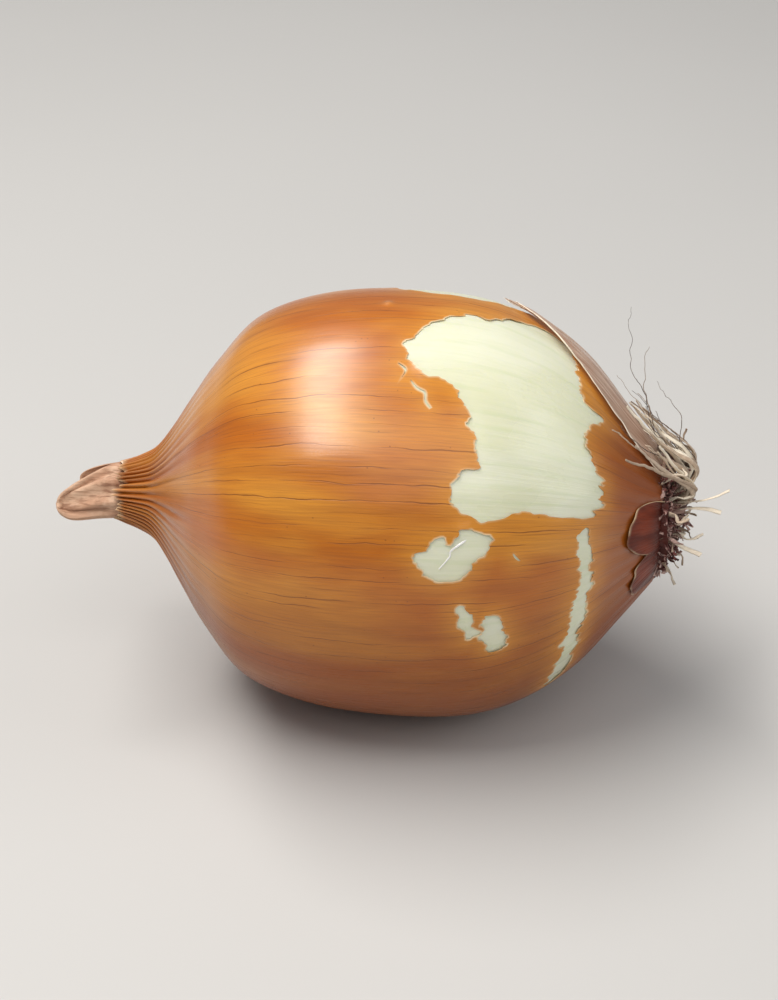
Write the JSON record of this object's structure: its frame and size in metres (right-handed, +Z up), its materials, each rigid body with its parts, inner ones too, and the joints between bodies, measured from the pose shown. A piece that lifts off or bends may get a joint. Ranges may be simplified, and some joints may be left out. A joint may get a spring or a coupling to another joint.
{
  "type": "onion",
  "caption": "Whole yellow storage onion lying on its side, papery amber skin torn open over pale flesh, with a dried neck at one end and a tuft of dry roots at the other.",
  "frame": {"origin": "middle of the small flat spot under the bulb that the onion rests on", "axes": "+Z up; the onion's own axis lies along X, with the neck towards -X and the roots towards +X; the torn side of the skin looks up and to the front, which is -Y"},
  "size_m": [0.1035, 0.0662, 0.0654],
  "materials": {
    "flesh": "moist, pale greenish-white onion flesh with a soft gloss",
    "skin": "thin dry amber skin, satin gloss, with darker veins from neck to roots",
    "film": "translucent pinkish-brown papery film with a pale rim",
    "scale": "dark reddish-brown glossy dry scale with a bright thin rim",
    "neck": "matt, folded dry leaf, light pinkish tan with fine grain along it",
    "root": "dry wiry roots, cream to grey-brown, on a dark purplish-brown plate"
  },
  "bodies": {
    "root": {"flesh_bulb": "flesh", "dry_skin": "skin", "loose_film": "film", "foot_scale": "scale", "dried_neck": "neck", "root_tuft": "root"}
  },
  "joints": []
}
